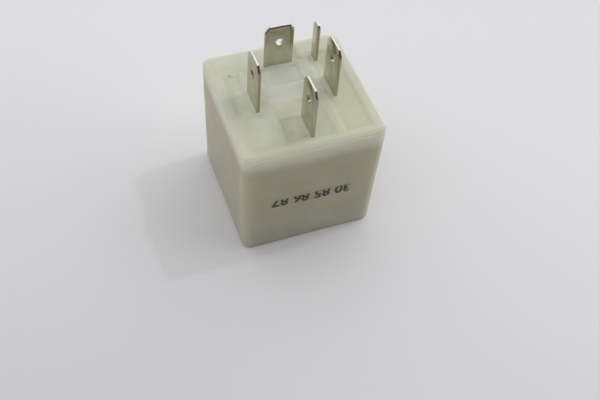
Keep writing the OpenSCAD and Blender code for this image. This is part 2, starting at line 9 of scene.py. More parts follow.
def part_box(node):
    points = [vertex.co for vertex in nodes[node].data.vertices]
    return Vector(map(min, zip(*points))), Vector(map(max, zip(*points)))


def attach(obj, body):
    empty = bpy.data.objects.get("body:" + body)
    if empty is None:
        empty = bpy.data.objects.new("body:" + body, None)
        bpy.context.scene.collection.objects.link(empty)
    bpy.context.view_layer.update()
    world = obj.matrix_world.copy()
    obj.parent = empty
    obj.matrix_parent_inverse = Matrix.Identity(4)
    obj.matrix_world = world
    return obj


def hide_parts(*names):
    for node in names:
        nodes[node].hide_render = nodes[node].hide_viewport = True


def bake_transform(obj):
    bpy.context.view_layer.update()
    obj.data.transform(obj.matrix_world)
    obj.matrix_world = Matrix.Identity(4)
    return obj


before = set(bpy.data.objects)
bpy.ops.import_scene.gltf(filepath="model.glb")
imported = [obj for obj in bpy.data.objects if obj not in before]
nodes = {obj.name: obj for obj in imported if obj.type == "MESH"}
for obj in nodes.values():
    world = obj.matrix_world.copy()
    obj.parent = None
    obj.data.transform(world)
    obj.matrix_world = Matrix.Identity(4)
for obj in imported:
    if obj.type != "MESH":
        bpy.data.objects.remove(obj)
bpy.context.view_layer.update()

mm = 0.001
terminals = ("30", "85", "86", "87", "87a")

bpy.context.scene.view_settings.view_transform = "Standard"


# Small helpers for modelling

def clearSelection():
    if bpy.context.object and bpy.context.object.mode != "OBJECT":
        bpy.ops.object.mode_set(mode="OBJECT")
    bpy.ops.object.select_all(action="DESELECT")


def makeActive(piece):
    clearSelection()
    piece.select_set(True)
    bpy.context.view_layer.objects.active = piece


def pickFaces(piece, test):
    # Selects the faces whose centre and normal pass the test, and nothing else
    mesh = bmesh.from_edit_mesh(piece.data)
    bpy.ops.mesh.select_mode(type="FACE")
    bpy.ops.mesh.select_all(action="DESELECT")
    found = [face for face in mesh.faces if test(face.calc_center_median(), face.normal)]
    for face in found:
        face.select = True
    mesh.select_flush_mode()
    bmesh.update_edit_mesh(piece.data)
    return len(found)


def pickEdges(piece, test):
    # Selects the edges whose two ends pass the test, and nothing else
    mesh = bmesh.from_edit_mesh(piece.data)
    bpy.ops.mesh.select_mode(type="EDGE")
    bpy.ops.mesh.select_all(action="DESELECT")
    found = [edge for edge in mesh.edges if test(edge.verts[0].co, edge.verts[1].co)]
    for edge in found:
        edge.select = True
    bmesh.update_edit_mesh(piece.data)
    return len(found)


def applyModifier(piece, kind, **values):
    makeActive(piece)
    modifier = piece.modifiers.new(kind.lower(), kind)
    for name, value in values.items():
        setattr(modifier, name, value)
    bpy.ops.object.modifier_apply(modifier=modifier.name)


def smoothPiece(piece, degrees=32):
    makeActive(piece)
    bpy.ops.object.shade_smooth_by_angle(angle=math.radians(degrees))


def copyOfNode(nodeName, pieceName):
    # A merged copy of a node's mesh, with its flat areas as single faces
    piece = bpy.data.objects.new(pieceName, nodes[nodeName].data.copy())
    bpy.context.scene.collection.objects.link(piece)
    makeActive(piece)
    bpy.ops.object.mode_set(mode="EDIT")
    bpy.ops.mesh.select_all(action="SELECT")
    bpy.ops.mesh.remove_doubles(threshold=0.0005 * mm)
    bpy.ops.mesh.dissolve_limited(angle_limit=math.radians(0.4))
    bpy.ops.object.mode_set(mode="OBJECT")
    return piece


def setMaterial(piece, material):
    piece.data.materials.clear()
    piece.data.materials.append(material)


# Small helpers for materials

class Finish:
    # One material with its nodes; object coordinates are in millimetres
    def __init__(self, name):
        self.material = bpy.data.materials.new(name)
        self.material.use_nodes = True
        self.tree = self.material.node_tree
        self.shader = self.tree.nodes["Principled BSDF"]
        place = self.tree.nodes.new("ShaderNodeTexCoord")
        self.mm = self.mapped(place.outputs["Object"], (1000, 1000, 1000))

    def connect(self, source, target):
        self.tree.links.new(source, target)

    def mapped(self, source, scale, offset=(0, 0, 0)):
        node = self.tree.nodes.new("ShaderNodeMapping")
        node.inputs["Scale"].default_value = scale
        node.inputs["Location"].default_value = offset
        self.connect(source, node.inputs["Vector"])
        return node.outputs["Vector"]

    def noise(self, scale, detail=3, rough=0.5, stretch=None, offset=(0, 0, 0)):
        node = self.tree.nodes.new("ShaderNodeTexNoise")
        node.inputs["Scale"].default_value = scale
        node.inputs["Detail"].default_value = detail
        node.inputs["Roughness"].default_value = rough
        self.connect(self.mapped(self.mm, stretch or (1, 1, 1), offset), node.inputs["Vector"])
        return node.outputs["Fac"]

    def ramp(self, source, low, high, toLow=0.0, toHigh=1.0, smooth=True):
        node = self.tree.nodes.new("ShaderNodeMapRange")
        node.interpolation_type = "SMOOTHSTEP" if smooth else "LINEAR"
        node.inputs["From Min"].default_value = low
        node.inputs["From Max"].default_value = high
        node.inputs["To Min"].default_value = toLow
        node.inputs["To Max"].default_value = toHigh
        self.connect(source, node.inputs["Value"])
        return node.outputs["Result"]

    def maths(self, kind, a, b=None):
        node = self.tree.nodes.new("ShaderNodeMath")
        node.operation = kind
        for socket, value in zip(node.inputs, (a, b)):
            if isinstance(value, (int, float)):
                socket.default_value = value
            elif value is not None:
                self.connect(value, socket)
        return node.outputs["Value"]

    def mix(self, factor, a, b):
        node = self.tree.nodes.new("ShaderNodeMix")
        node.data_type = "RGBA"
        for socket, value in ((node.inputs[0], factor), (node.inputs[6], a), (node.inputs[7], b)):
            if isinstance(value, (int, float)):
                socket.default_value = value
            elif isinstance(value, tuple):
                socket.default_value = (*value, 1)
            else:
                self.connect(value, socket)
        return node.outputs[2]

    def axes(self):
        node = self.tree.nodes.new("ShaderNodeSeparateXYZ")
        self.connect(self.mm, node.inputs["Vector"])
        return node.outputs["X"], node.outputs["Y"], node.outputs["Z"]

    def normals(self):
        # The parts of the surface's own direction along X, Y and Z
        place = self.tree.nodes.new("ShaderNodeTexCoord")
        node = self.tree.nodes.new("ShaderNodeSeparateXYZ")
        self.connect(place.outputs["Normal"], node.inputs["Vector"])
        return node.outputs["X"], node.outputs["Y"], node.outputs["Z"]

    def box(self, x, y, soft=0.5, wander=None):
        # 1 inside a rectangle seen from above, falling to 0 over a soft, wandering border
        place = self.axes()
        if wander:
            place = [self.maths("ADD", axis, drift) for axis, drift in zip(place, wander)]
        sides = []
        for axis, span in ((0, x), (1, y)):
            sides.append(self.ramp(place[axis], span[0] - soft, span[0] + soft))
            sides.append(self.ramp(place[axis], span[1] + soft, span[1] - soft))
        return self.maths("MINIMUM", self.maths("MINIMUM", sides[0], sides[1]),
                          self.maths("MINIMUM", sides[2], sides[3]))

    def bump(self, height, distance, strength=1.0, below=None):
        node = self.tree.nodes.new("ShaderNodeBump")
        node.inputs["Strength"].default_value = strength
        node.inputs["Distance"].default_value = distance
        self.connect(height, node.inputs["Height"])
        if below:
            self.connect(below, node.inputs["Normal"])
        return node.outputs["Normal"]

    def set(self, **values):
        names = {"colour": "Base Color", "roughness": "Roughness", "metallic": "Metallic",
                 "normal": "Normal", "specular": "Specular IOR Level",
                 "softness": "Subsurface Weight", "softRadius": "Subsurface Radius",
                 "softScale": "Subsurface Scale", "coat": "Coat Weight"}
        for name, value in values.items():
            socket = self.shader.inputs[names[name]]
            if isinstance(value, bpy.types.NodeSocket):
                self.connect(value, socket)
            elif name == "colour":
                socket.default_value = (*value, 1)
            else:
                socket.default_value = value
        return self.material


def tone(red, green, blue):
    # A colour as a screen shows it, turned into the linear values that shaders take
    return tuple((v / 255 / 12.92) if v < 10.5 else ((v / 255 + 0.055) / 1.055) ** 2.4
                 for v in (red, green, blue))


# Camera

cameraPlace = {
    "target": (-0.002619, -0.014686, 0.013071),
    "distance": 0.17942,
    "azimuth": -24.663,
    "elevation": 52.361,
    "roll": 5.922,
    "lens": 51.25,
}


def addCamera(place):
    azimuth, elevation, roll = (math.radians(place[key]) for key in ("azimuth", "elevation", "roll"))
    back = Vector((math.sin(azimuth) * math.cos(elevation),
                   -math.cos(azimuth) * math.cos(elevation), math.sin(elevation)))
    right = Vector((math.cos(azimuth), math.sin(azimuth), 0))
    up = back.cross(right)
    turnedRight = math.cos(roll) * right + math.sin(roll) * up
    turnedUp = -math.sin(roll) * right + math.cos(roll) * up
    camera = bpy.data.objects.new("camera", bpy.data.cameras.new("camera"))
    camera.data.lens = place["lens"]
    camera.data.sensor_width = 36
    camera.data.clip_start = 0.005
    turn = Matrix((turnedRight, turnedUp, back)).transposed().to_4x4()
    camera.matrix_world = Matrix.Translation(Vector(place["target"]) + back * place["distance"]) @ turn
    bpy.context.scene.collection.objects.link(camera)
    bpy.context.scene.camera = camera


addCamera(cameraPlace)
print("camera placed")


# Light and floor

studio = {
    "floorSize": 2.4,
    "floorNear": tone(233, 232, 234),
    "floorFarShade": tone(200, 198, 201),
    "floorFade": (-40, 150),     # mm towards the front left, over which painted shade dims the paper
    "worldColour": (0.985, 0.99, 1.0),
    # towards, where it starts and ends, how bright there
    "overhead": ((0.0, 0.25, 0.97), 0.1, 0.62, 0.0, 0.87),      # from above and behind
    "rightSide": ((0.97, 0.1, 0.2), 0.4, 0.9, 0.0, 0.5),        # from a pale wall on the right
    "darkFigure": ((0.25, -0.79, 0.56), 0.86, 0.95, 1.0, 0.03),  # someone standing in front
    "dimFront": 0.09,                                           # everywhere, so also in front
    "lamps": {
        "keyLamp": {"from": (18.2, 2.6, 29.6), "power": 0.22, "angle": 2.5},
    },
}


def addLamp(name, lamp):
    data = bpy.data.lights.new(name, "SUN")
    data.energy = lamp["power"]
    data.angle = math.radians(lamp["angle"])
    obj = bpy.data.objects.new(name, data)
    obj.rotation_euler = Vector(lamp["from"]).to_track_quat("Z", "Y").to_euler()
    bpy.context.scene.collection.objects.link(obj)


def roomRamp(tree, direction, spread):
    # A value that changes with how far a direction lies from the one named
    towards, start, end, low, high = spread
    dot = tree.nodes.new("ShaderNodeVectorMath")
    dot.operation = "DOT_PRODUCT"
    dot.inputs[1].default_value = towards
    tree.links.new(direction, dot.inputs[0])
    glow = tree.nodes.new("ShaderNodeMapRange")
    glow.interpolation_type = "SMOOTHSTEP"
    for name, value in (("From Min", start), ("From Max", end), ("To Min", low), ("To Max", high)):
        glow.inputs[name].default_value = value
    tree.links.new(dot.outputs["Value"], glow.inputs["Value"])
    return glow.outputs["Result"]


def roomMaths(tree, kind, a, b):
    node = tree.nodes.new("ShaderNodeMath")
    node.operation = kind
    tree.links.new(a, node.inputs[0])
    if isinstance(b, float):
        node.inputs[1].default_value = b
    else:
        tree.links.new(b, node.inputs[1])
    return node.outputs["Value"]


def addRoom(setting):
    # A pale room, brightest above and behind, that the metal reflects
    world = bpy.data.worlds.new("studio")
    bpy.context.scene.world = world
    world.use_nodes = True
    tree = world.node_tree
    background = tree.nodes["Background"]
    background.inputs["Color"].default_value = (*setting["worldColour"], 1)
    direction = tree.nodes.new("ShaderNodeTexCoord").outputs["Generated"]
    total = setting["dimFront"]
    for part in ("overhead", "rightSide"):
        total = roomMaths(tree, "ADD", roomRamp(tree, direction, setting[part]), total)
    dark = roomRamp(tree, direction, setting["darkFigure"])
    total = roomMaths(tree, "MULTIPLY", total, dark)
    tree.links.new(total, background.inputs["Strength"])


def addStudio(setting):
    addRoom(setting)
    for name, lamp in setting["lamps"].items():
        addLamp(name, lamp)
    clearSelection()
    bpy.ops.mesh.primitive_plane_add(size=setting["floorSize"], location=(0, 0, 0))
    floor = bpy.context.object
    floor.name = "floor"
    paper = Finish("whitePaper")
    x, y, _ = paper.axes()
    mottle = paper.noise(0.02, 2, 0.5)
    away = paper.maths("ADD", paper.maths("MULTIPLY", x, -0.6), paper.maths("MULTIPLY", y, -0.8))
    away = paper.maths("ADD", away, paper.maths("MULTIPLY", mottle, 10))
    # painted shade: the paper darkens towards the front left
    shade = paper.ramp(away, *setting["floorFade"])
    paper.set(colour=paper.mix(shade, setting["floorNear"], setting["floorFarShade"]),
              roughness=0.8, specular=0.15)
    setMaterial(floor, paper.material)


addStudio(studio)
print("studio ready")


# Finishes of the moulded nylon

nylonLook = {
    "core": tone(185, 177, 150),      # where only a thin wall stands over the dark inside
    "low": tone(178, 176, 156),       # towards the closed end
    "milkyAndGlow": tone(204, 203, 177),     # the nylon's milky clouds, and painted glow on the upright corners, thick and lit from two sides
    "band": tone(228, 227, 204),      # painted glow: the base plate behind the wall lights this band
    "rim": tone(207, 208, 187),
    # painted shade on the rim's front, painted light on its back
    "rimFrontShade": tone(194, 197, 172),
    "rimBackLight": tone(211, 213, 193),
    "top": tone(207, 206, 184),
    "green": tone(200, 204, 181),
    "pale": tone(217, 220, 206),
    # painted shade for the front of the plate
    "greyShade": tone(195, 197, 172),
    # painted shade beside the blades
    "brownShade": tone(186, 183, 158),
    "yellow": tone(206, 203, 173),
    "lit": tone(244, 246, 224),       # beside the blades, where their bright sides light it
    "scatter": (1.0, 1.0, 1.0),
    "scatterDepth": 3.0 * mm,
    "speck": tone(120, 114, 92),
    "baseSpeck": tone(136, 130, 104),
    "rimFrom": (29.1, 29.5),          # mm up, where the rim's colour, with its painted shade and light, begins
    "rimSide": (13.6, 14.2),          # mm out, where the rim's front and back begin
    "seamOut": (13.9, 14.8),          # mm out from the middle, over the lip
    "seamDown": (29.3, 28.6),
    "plateSoft": 12.9,                # mm out, where the plate's scattering fades
    "plateFade": 0.95,
    "slotFade": 0.5,
}


def milkySurface(finish, colour, fine, ripple, softness):
    # The gloss, grain and inner scattering that both mouldings share
    surface = finish.bump(finish.noise(9, 3, 0.6), 0.012 * mm, 0.5, ripple)
    return finish.set(colour=colour, roughness=finish.ramp(fine, 0.3, 0.75, 0.38, 0.56), normal=surface,
                      specular=0.42, softness=softness, softRadius=nylonLook["scatter"],
                      softScale=nylonLook["scatterDepth"])


def coverNylon():
    finish = Finish("coverNylon")
    x, y, z = finish.axes()
    cloud = finish.noise(0.16, 4, 0.55)
    fine = finish.noise(1.1, 4, 0.6)
    drift = finish.maths("MULTIPLY", finish.maths("SUBTRACT", cloud, 0.5), 4.0)
    height = finish.maths("ADD", z, finish.maths("MULTIPLY", drift, 0.4))
    # painted glow: a band under the rim is made lighter
    band = finish.ramp(height, 24.4, 28.6)
    foot = finish.ramp(height, 20, 1)
    across = finish.maths("MINIMUM", finish.maths("ABSOLUTE", x), finish.maths("ABSOLUTE", y))
    across = finish.maths("ADD", across, finish.maths("MULTIPLY", drift, 0.4))
    # painted glow: the upright corners, and the walls towards the right and back, are made lighter
    corner = finish.maths("MULTIPLY", finish.ramp(across, 11.0, 14.8), 0.4)
    sunward = finish.ramp(finish.maths("ADD", x, y), -14, 10, 0, 0.4)
    sideGlow = finish.maths("MULTIPLY", finish.ramp(across, 2.0, 13.5), sunward)
    body = finish.mix(foot, nylonLook["core"], nylonLook["low"])
    body = finish.mix(finish.ramp(cloud, 0.35, 0.7, 0, 0.25), body, nylonLook["milkyAndGlow"])
    colour = finish.mix(finish.maths("ADD", corner, sideGlow), body, nylonLook["milkyAndGlow"])
    colour = finish.mix(band, colour, nylonLook["band"])
    # painted shade darkens the front of the rim and painted light brightens its back
    side, sideEnd = nylonLook["rimSide"]
    rim = finish.mix(finish.ramp(y, -side, -sideEnd), nylonLook["rim"], nylonLook["rimFrontShade"])
    rim = finish.mix(finish.ramp(y, side, sideEnd), rim, nylonLook["rimBackLight"])
    colour = finish.mix(finish.ramp(z, *nylonLook["rimFrom"]), colour, rim)
    speck = finish.ramp(finish.noise(2.3, 2, 0.4, offset=(3, 7, 1)), 0.76, 0.8, 0, 0.3)
    colour = finish.mix(speck, colour, nylonLook["speck"])
    # light doesn't scatter across the seam with the base plate, so the lip has to be plain
    seamAway = finish.maths("MAXIMUM", finish.maths("ABSOLUTE", x), finish.maths("ABSOLUTE", y))
    softness = finish.maths("MAXIMUM", finish.ramp(seamAway, *nylonLook["seamOut"]),
                            finish.ramp(z, *nylonLook["seamDown"]))
    return milkySurface(finish, colour, fine, finish.bump(finish.noise(0.35, 2, 0.5), 0.25 * mm, 0.35),
                        softness)


# Faint patches on the base plate, the grey and brown ones painted shade and the lit ones painted light:
# across, along, border, tint, how much
basePatches = (
    ((-12.5, -3.5), (-14.5, -11.6), 1.2, "greyShade", 0.7),
    ((-6.2, -1.4), (-14.5, -9.4), 1.0, "greyShade", 0.5),
    ((-12.6, -5.0), (11.8, 14.5), 1.0, "pale", 0.5),
    ((-13.4, -9.0), (4.4, 9.0), 1.4, "green", 0.6),
    ((-10.4, -5.4), (-11.0, -3.6), 1.4, "pale", 0.35),
    ((-5.0, 4.2), (-2.6, 8.6), 1.3, "pale", 0.8),
    ((4.6, 7.2), (-1.0, 9.0), 1.0, "pale", 0.4),
    ((3.7, 5.2), (9.2, 14.4), 0.6, "brownShade", 0.8),
    ((8.9, 11.8), (5.6, 10.6), 0.9, "brownShade", 0.6),
    ((5.4, 13.2), (-13.6, -4.0), 1.6, "yellow", 0.5),
    ((-11.0, -8.0), (-2.6, 3.2), 1.2, "lit", 0.5),
    ((-2.8, 2.8), (7.6, 9.8), 1.2, "lit", 0.6),
    ((6.6, 8.6), (-2.8, 2.8), 1.1, "lit", 0.5),
    ((-2.8, -0.2), (-11.0, -6.0), 1.3, "lit", 0.4),
)


def baseNylon():
    finish = Finish("baseNylon")
    cloud = finish.noise(0.22, 4, 0.55, offset=(5, 2, 0))
    fine = finish.noise(1.4, 4, 0.6)
    wander = [finish.ramp(finish.noise(0.4, 3, 0.6, offset=(k, 3, 8)), 0.25, 0.75, -1.1, 1.1, smooth=False)
              for k in (2, 9)]
    colour = finish.mix(finish.ramp(cloud, 0.3, 0.7), nylonLook["top"], nylonLook["green"])
    # some patches lay painted shade or painted light over the plate's colour
    for across, along, border, tint, amount in basePatches:
        patch = finish.maths("MULTIPLY", finish.box(across, along, border, wander), amount)
        colour = finish.mix(patch, colour, nylonLook[tint])
    speck = finish.ramp(finish.noise(1.9, 2, 0.4, offset=(1, 4, 9)), 0.76, 0.8, 0, 0.3)
    colour = finish.mix(speck, colour, nylonLook["baseSpeck"])
    # nor across the edges of the slots and of the plate
    out, fade = nylonLook["plateSoft"], nylonLook["slotFade"]
    softness = finish.box((-out, out), (-out, out), nylonLook["plateFade"])
    for terminal in terminals:
        low, high = (corner / mm for corner in bladeBox(terminal))
        slot = finish.box((low.x - fade, high.x + fade), (low.y - fade, high.y + fade), fade)
        softness = finish.maths("MINIMUM", softness, finish.maths("SUBTRACT", 1.0, slot))
    return milkySurface(finish, colour, fine, finish.bump(finish.noise(0.5, 2, 0.5), 0.2 * mm, 0.4),
                        softness)


# Cover

coverForm = {
    "width": 30.5 * mm,        # across the rim
    "height": 29.6 * mm,
    "draft": 0.33 * mm,        # each side, over the whole height
    "wall": 1.4 * mm,
    "endWall": 1.4 * mm,
    "cornerRadius": 2.0 * mm,
    "endRadius": 0.95 * mm,
    "lipRadius": 0.6 * mm,
    "cavityRadius": 0.5 * mm,
    "postRadius": 1.7 * mm,
    "postIn": 0.5 * mm,         # the posts' centres, in from the wall
    "postTop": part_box("base_plate")[0].z - 0.03 * mm,
    "pocketPlace": (13.75 * mm, 7.2 * mm, 26.4 * mm),
    "pocketSize": (0.5 * mm, 5.4 * mm, 1.4 * mm),
    "pocketRamp": 0.98 * mm,
}


def halfAt(z):
    return coverForm["width"] / 2 - coverForm["draft"] * (1 - z / coverForm["height"])


def insetAt(place):
    # How far a point lies in from the rounded square outline of the cover
    radius = coverForm["cornerRadius"]
    across = abs(place.x) - halfAt(place.z) + radius
    along = abs(place.y) - halfAt(place.z) + radius
    return radius - (math.hypot(across, along) if min(across, along) > 0 else max(across, along))


def makeCover(form):
    clearSelection()
    height = form["height"]
    bpy.ops.mesh.primitive_cube_add(size=1, location=(0, 0, height / 2),
                                    scale=(form["width"], form["width"], height))
    cover = bpy.context.object
    cover.name = "coverShell"
    bpy.ops.object.transform_apply(location=True, rotation=False, scale=True)
    bpy.ops.object.mode_set(mode="EDIT")
    pickFaces(cover, lambda centre, normal: normal.z < -0.9)
    draftScale = halfAt(0) / halfAt(height)
    bpy.ops.transform.resize(value=(draftScale, draftScale, 1), center_override=(0, 0, 0))
    pickEdges(cover, lambda a, b: abs(a.z - b.z) > 5 * mm)
    bpy.ops.mesh.bevel(offset=form["cornerRadius"], segments=12, affect="EDGES")
    # the top face is narrowed to the wall and pushed down to form the cavity
    pickFaces(cover, lambda centre, normal: normal.z > 0.9)
    bpy.ops.mesh.inset(thickness=form["wall"], use_even_offset=True)
    bpy.ops.mesh.extrude_region_move(
        TRANSFORM_OT_translate={"value": (0, 0, form["endWall"] - height)})
    cavityScale = (halfAt(form["endWall"]) - form["wall"]) / (halfAt(height) - form["wall"])
    bpy.ops.transform.resize(value=(cavityScale, cavityScale, 1), center_override=(0, 0, 0))
    nearLevel = lambda a, b, z: abs(a.z - z) < 0.01 * mm and abs(b.z - z) < 0.01 * mm
    outer = lambda a, b: max(insetAt(a), insetAt(b)) < 0.2 * mm
    pickEdges(cover, lambda a, b: nearLevel(a, b, form["endWall"]))
    bpy.ops.mesh.bevel(offset=form["cavityRadius"], segments=4, affect="EDGES")
    pickEdges(cover, lambda a, b: nearLevel(a, b, 0) and outer(a, b))
    bpy.ops.mesh.bevel(offset=form["endRadius"], segments=8, affect="EDGES")
    pickEdges(cover, lambda a, b: nearLevel(a, b, height) and outer(a, b))
    bpy.ops.mesh.bevel(offset=form["lipRadius"], segments=6, affect="EDGES")
    bpy.ops.object.mode_set(mode="OBJECT")
    return cover


def makePost(form):
    bottom = form["endWall"] / 2
    clearSelection()
    bpy.ops.mesh.primitive_cylinder_add(
        vertices=40, radius=form["postRadius"], depth=form["postTop"] - bottom,
        location=(0, 0, (form["postTop"] + bottom) / 2))
    post = bpy.context.object
    bpy.ops.object.transform_apply(location=True)
    bpy.ops.object.mode_set(mode="EDIT")
    pickEdges(post, lambda a, b: min(a.z, b.z) > form["postTop"] - 0.01 * mm)
    bpy.ops.mesh.bevel(offset=0.2 * mm, segments=3, affect="EDGES")
    bpy.ops.object.mode_set(mode="OBJECT")
    return post


def makePocket(form):
    # The hollow behind one snap lug, open to the inside, with a sloping floor
    depth, width, height = form["pocketSize"]
    clearSelection()
    bpy.ops.mesh.primitive_cube_add(size=1, location=(depth / 2, 0, height / 2),
                                    scale=(depth, width, height))
    pocket = bpy.context.object
    bpy.ops.object.transform_apply(location=True, scale=True)
    bpy.ops.object.mode_set(mode="EDIT")
    pickEdges(pocket, lambda a, b: min(a.x, b.x) > 0.1 * mm and max(a.z, b.z) < 0.1 * mm)
    bpy.ops.transform.translate(value=(0, 0, form["pocketRamp"]))
    bpy.ops.object.mode_set(mode="OBJECT")
    return pocket


def combine(piece, tool, kind, places):
    # Adds or cuts a copy of the tool at each place, which is x, y, z and a turn
    for x, y, z, turn in places:
        copy = tool.copy()
        copy.data = tool.data.copy()
        copy.data.transform(Matrix.Translation((x, y, z)) @ Matrix.Rotation(turn, 4, "Z"))
        bpy.context.scene.collection.objects.link(copy)
        applyModifier(piece, "BOOLEAN", object=copy, operation=kind, solver="MANIFOLD")
        bpy.data.objects.remove(copy)
    bpy.data.objects.remove(tool)


def finishInside(cover, form):
    corner = halfAt(form["endWall"]) - form["wall"] - form["postIn"]
    combine(cover, makePost(form), "UNION",
            [(sx * corner, sy * corner, 0, 0) for sx in (-1, 1) for sy in (-1, 1)])
    x, y, z = form["pocketPlace"]
    combine(cover, makePocket(form), "DIFFERENCE",
            [(sx * x, sy * y, z, 0 if sx > 0 else math.pi) for sx in (-1, 1) for sy in (-1, 1)])


coverShell = makeCover(coverForm)
finishInside(coverShell, coverForm)
smoothPiece(coverShell, 30)
applyModifier(coverShell, "WEIGHTED_NORMAL", keep_sharp=True)
setMaterial(coverShell, coverNylon())
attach(coverShell, "housing")
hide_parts("cover")
print("cover made:", len(coverShell.data.polygons), "faces")


# Base plate

basePlateForm = {
    "top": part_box("base_plate")[1].z,
    "half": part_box("base_plate")[1].x,
    "raise": 0.046 * mm,       # the top comes level with the cover's rim
    "flare": 1.0075,           # and its edge closes up to the cover's wall
    "slotClosing": 0.036 * mm,  # and the slots' top edges up to the blades
    "relief": 0.5 * mm,        # deepest recess of the top face
    "softEdge": 0.3 * mm,
    "steepest": 60,
    "marks": ((-11.1 * mm, 8.3 * mm), (-8.3 * mm, -4.2 * mm), (10.9 * mm, 6.4 * mm)),
    "markReach": 0.3 * mm,
    "markFill": 0.17 * mm,     # the moulding marks are faint
}


def bladeBox(terminal):
    # The outline of a blade just above the base plate
    piece = nodes["terminal_" + terminal]
    corners = [vert.co for vert in piece.data.vertices if vert.co.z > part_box("base_plate")[1].z + 3 * mm]
    return [Vector([pick(corner[k] for corner in corners) for k in range(3)]) for pick in (min, max)]


def pickReliefEdges(plate, form):
    # The gentle bends of the recesses, not the slots and the outer edge
    mesh = bmesh.from_edit_mesh(plate.data)
    bpy.ops.mesh.select_mode(type="EDGE")
    bpy.ops.mesh.select_all(action="DESELECT")
    for edge in mesh.edges:
        inTop = all(vert.co.z > form["top"] - form["relief"] for vert in edge.verts)
        bend = math.degrees(edge.calc_face_angle(0))
        edge.select = inTop and 4 < bend < form["steepest"]
    bmesh.update_edit_mesh(plate.data)


def closeSlots(plate, form):
    mesh = bmesh.from_edit_mesh(plate.data)
    for terminal in terminals:
        low, high = bladeBox(terminal)
        reach = Vector((form["slotClosing"], form["slotClosing"], 0)) * 1.3
        for vert in mesh.verts:
            place = vert.co
            near = all(low[k] - reach[k] < place[k] < high[k] + reach[k] for k in (0, 1))
            if near and place.z > form["top"] - form["relief"]:
                for k in (0, 1):
                    if place[k] < low[k]:
                        place[k] += form["slotClosing"]
                    elif place[k] > high[k]:
                        place[k] -= form["slotClosing"]
    bmesh.update_edit_mesh(plate.data)


def makeBasePlate(form):
    plate = copyOfNode("base_plate", "basePlate")
    bpy.ops.object.mode_set(mode="EDIT")
    outer = lambda place: max(abs(place.x), abs(place.y)) > form["half"] - 0.7 * mm
    pickEdges(plate, lambda a, b: min(a.z, b.z) > form["top"] - 0.01 * mm and outer(a) and outer(b))
    bpy.ops.transform.resize(value=(form["flare"], form["flare"], 1), center_override=(0, 0, form["top"]))
    for x, y in form["marks"]:
        inMark = lambda centre: math.hypot(centre.x - x, centre.y - y) < form["markReach"]
        sunken = lambda centre: -form["relief"] < centre.z - form["top"] < -0.05 * mm
        pickFaces(plate, lambda centre, normal: inMark(centre) and normal.z > 0.9 and sunken(centre))
        bpy.ops.transform.translate(value=(0, 0, form["markFill"]))
    pickEdges(plate, lambda a, b: min(a.z, b.z) > form["top"] - form["relief"])
    bpy.ops.transform.translate(value=(0, 0, form["raise"]))
    pickReliefEdges(plate, form)
    bpy.ops.mesh.bevel(offset=form["softEdge"], segments=3, affect="EDGES", clamp_overlap=True)
    closeSlots(plate, form)
    bpy.ops.object.mode_set(mode="OBJECT")
    smoothPiece(plate, 30)
    applyModifier(plate, "WEIGHTED_NORMAL", keep_sharp=True)
    return plate


basePlate = makeBasePlate(basePlateForm)
setMaterial(basePlate, baseNylon())
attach(basePlate, "housing")
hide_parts("base_plate")
print("base plate made:", len(basePlate.data.polygons), "faces")


# Blades

bladeLook = {
    "face": tone(196, 196, 178),
    "dull": tone(166, 158, 136),
    "bright": tone(206, 205, 190),
    "sheared": tone(172, 162, 138),     # the cut edges, where the brass shows through
    "tip": tone(238, 233, 220),         # painted highlight on the faces that turn upwards
    "bevel": 0.05 * mm,
}


def tinnedBrass(name, seed, across):
    # across is the axis of the blade's thickness, 0 for X and 1 for Y
    finish = Finish(name)
    _, _, z = finish.axes()
    facing = finish.normals()
    flat = finish.maths("ABSOLUTE", facing[across])
    edge = finish.maths("MULTIPLY", finish.ramp(flat, 0.75, 0.3), finish.ramp(facing[2], 0.75, 0.45))
    shift = (seed * 3.7, seed * 1.9, seed * 5.3)
    cloud = finish.noise(0.45, 4, 0.6, offset=shift)
    rolled = finish.noise(1.0, 4, 0.65, (7, 7, 0.25), shift)
    # painted shade: the blades grow darker towards their tips, as a darker reflection there
    tipShade = finish.ramp(finish.maths("ADD", z, finish.maths("MULTIPLY", cloud, 6)), 35, 44)
    colour = finish.mix(finish.ramp(cloud, 0.3, 0.72), bladeLook["face"], bladeLook["bright"])
    colour = finish.mix(finish.maths("MULTIPLY", tipShade, 0.7), colour, bladeLook["dull"])
    colour = finish.mix(finish.ramp(rolled, 0.45, 0.8, 0, 0.3), colour, bladeLook["dull"])
    spot = finish.ramp(finish.noise(2.6, 2, 0.4, offset=shift), 0.7, 0.77, 0, 0.5)
    colour = finish.mix(spot, colour, tone(110, 100, 78))
    colour = finish.mix(finish.maths("MULTIPLY", edge, 0.6), colour, bladeLook["sheared"])
    # painted highlight: faces turned upwards are made near white
    colour = finish.mix(finish.ramp(facing[2], 0.8, 0.97), colour, bladeLook["tip"])
    roughness = finish.maths("ADD", finish.ramp(rolled, 0.3, 0.8, 0.17, 0.28),
                             finish.maths("MULTIPLY", edge, 0.14))
    dents = finish.bump(cloud, 0.05 * mm, 0.35)
    surface = finish.bump(rolled, 0.01 * mm, 0.5, dents)
    return finish.set(colour=colour, metallic=1.0, roughness=roughness, normal=surface)


for seed, terminal in enumerate(terminals):
    blade = copyOfNode("terminal_" + terminal, "blade" + terminal)
    applyModifier(blade, "BEVEL", width=bladeLook["bevel"], segments=2, limit_method="ANGLE",
                  angle_limit=math.radians(20), use_clamp_overlap=True)
    smoothPiece(blade, 28)
    setMaterial(blade, tinnedBrass("tinnedBrass" + terminal, seed + 1, int(terminal == "87")))
    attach(blade, "housing")
    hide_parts("terminal_" + terminal)
print("blades made")


# Printed terminal numbers on the front

printForm = {
    "words": "30 85 86 87",
    "size": 3.65 * mm,
    "middle": (-0.2 * mm, 14.5 * mm),
    "slope": 2.0,
    "thick": 0.016 * mm,
    "bold": 0.075 * mm,
}


